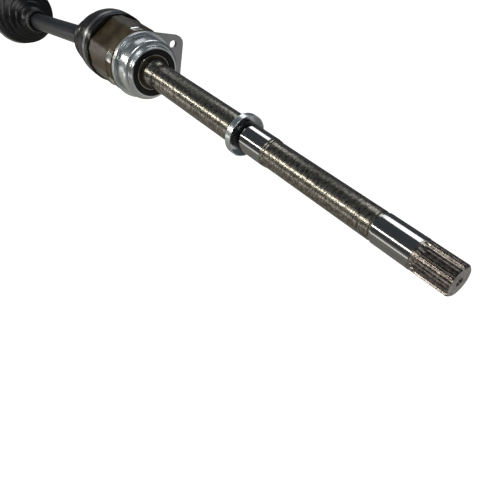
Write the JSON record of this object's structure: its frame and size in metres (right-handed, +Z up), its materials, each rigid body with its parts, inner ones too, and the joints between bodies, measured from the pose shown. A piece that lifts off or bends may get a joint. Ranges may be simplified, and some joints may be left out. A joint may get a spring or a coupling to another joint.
{
  "type": "cv axle",
  "caption": "Front drive axle: splined intermediate shaft in a bolted support bearing, plunging tripod joint, bar shaft and fixed ball joint under rubber boots.",
  "frame": {"origin": "centre of the support bearing on the intermediate shaft's axis", "axes": "+X outboard along the intermediate shaft towards the wheel, +Z up, bolt ears towards -Y"},
  "size_m": [1.0298, 0.1045, 0.1697],
  "materials": {
    "bar_black": "satin blue-black coated steel",
    "bearing_steel": "ground bearing steel",
    "bell_steel": "dark forged and turned steel",
    "boot_rubber": "satin black boot",
    "cage_steel": "pressed steel",
    "clamp_steel": "stainless band",
    "forged_steel": "brown-olive forged steel, turned bright at its closed end",
    "hard_steel": "hardened steel",
    "plate_steel": "satin grey plated steel",
    "rubber_seal": "matt black rubber",
    "shaft_steel": "dark oiled turned steel with ground journals",
    "shield_black": "black rubber-faced shield",
    "zinc": "bright bluish zinc plate, turned"
  },
  "bodies": {
    "support": {"support_plate": "plate_steel", "bearing_housing": "zinc", "front_dust_seal": "rubber_seal", "bearing_outer_ring": "bearing_steel", "bearing_shields": "shield_black", "bearing_snap_ring": "cage_steel"},
    "bearing_rolling_set": {"bearing_cage": "cage_steel", "bearing_balls": "bearing_steel"},
    "intermediate": {"intermediate_shaft": "shaft_steel", "dust_slinger": "zinc", "tulip_housing": "forged_steel", "bearing_inner_ring": "bearing_steel", "bearing_spacer": "forged_steel", "inner_boot": "boot_rubber", "inner_boot_large_clamp": "clamp_steel"},
    "roller_a": {"roller_a_race": "bearing_steel", "roller_a_needles": "bearing_steel"},
    "roller_b": {"roller_b_race": "bearing_steel", "roller_b_needles": "bearing_steel"},
    "roller_c": {"roller_c_race": "bearing_steel", "roller_c_needles": "bearing_steel"},
    "roller_a_wheel": {"roller_a_tyre": "hard_steel"},
    "roller_b_wheel": {"roller_b_tyre": "hard_steel"},
    "roller_c_wheel": {"roller_c_tyre": "hard_steel"},
    "axle_shaft": {"axle_bar": "bar_black", "tripod_spider": "hard_steel", "spider_circlips": "cage_steel", "outer_race": "hard_steel", "race_circlip": "cage_steel", "inner_boot_small_clamp": "clamp_steel", "outer_boot_small_clamp": "clamp_steel"},
    "outer_cage_set": {"outer_cage": "hard_steel", "outer_balls": "bearing_steel"},
    "wheel_stub": {"outer_bell": "bell_steel", "outer_boot": "boot_rubber", "outer_boot_large_clamp": "clamp_steel"}
  },
  "joints": [
    {"name": "shaft_spin", "type": "hinge", "parent": "support", "child": "intermediate", "pos_m": [0, 0, 0], "axis": [1, 0, 0], "continuous": true},
    {"name": "bearing_cage_spin", "type": "hinge", "parent": "support", "child": "bearing_rolling_set", "pos_m": [0, 0, 0], "axis": [1, 0, 0], "continuous": true},
    {"name": "inner_plunge", "type": "slide", "parent": "intermediate", "child": "roller_a", "axis": [1, 0, 0], "range_m": [-0.015, 0.006], "deforming": ["inner_boot"]},
    {"name": "inner_angle", "type": "hinge", "parent": "roller_a", "child": "axle_shaft", "pos_m": [0.078, 0, 0], "axis": [0, 0.9781, -0.2079], "range_deg": [-30.1, 9.9], "deforming": ["inner_boot"]},
    {"name": "roller_b_shift", "type": "slide", "parent": "roller_a", "child": "roller_b", "axis": [1, 0, 0], "range_m": [-0.013, 0.013]},
    {"name": "roller_c_shift", "type": "slide", "parent": "roller_a", "child": "roller_c", "axis": [1, 0, 0], "range_m": [-0.013, 0.013]},
    {"name": "roller_a_spin", "type": "hinge", "parent": "roller_a", "child": "roller_a_wheel", "pos_m": [0.078, 0.02494, -0.0053], "axis": [0, 0.9781, -0.2079], "range_deg": [-60, 60]},
    {"name": "roller_b_spin", "type": "hinge", "parent": "roller_b", "child": "roller_b_wheel", "pos_m": [0.0818, -0.00788, 0.02425], "axis": [0, -0.309, 0.9511], "range_deg": [-60, 60]},
    {"name": "roller_c_spin", "type": "hinge", "parent": "roller_c", "child": "roller_c_wheel", "pos_m": [0.0742, -0.01706, -0.01895], "axis": [0, -0.6691, -0.7431], "range_deg": [-60, 60]},
    {"name": "outer_cage_tilt", "type": "hinge", "parent": "axle_shaft", "child": "outer_cage_set", "pos_m": [0.47968, -0.01488, -0.06999], "axis": [0, 0.9781, -0.2079], "range_deg": [-28.5, 16.5], "deforming": ["outer_boot"]},
    {"name": "outer_bell_tilt", "type": "hinge", "parent": "outer_cage_set", "child": "wheel_stub", "pos_m": [0.47968, -0.01488, -0.06999], "axis": [0, 0.9781, -0.2079], "range_deg": [-28.5, 16.5], "deforming": ["outer_boot"]}
  ],
  "couplings": [
    {"joint": "bearing_cage_spin", "follows": "shaft_spin", "ratio": 0.418},
    {"joint": "roller_b_shift", "follows": "inner_angle", "m_per_rad": 0.02154},
    {"joint": "roller_c_shift", "follows": "inner_angle", "m_per_rad": -0.02154},
    {"joint": "outer_bell_tilt", "follows": "outer_cage_tilt", "ratio": 1},
    {"joint": "roller_a_spin", "follows": "inner_plunge", "rad_per_m": 62.5},
    {"joint": "roller_b_spin", "follows": "inner_plunge", "rad_per_m": 62.5},
    {"joint": "roller_c_spin", "follows": "inner_plunge", "rad_per_m": 62.5}
  ]
}
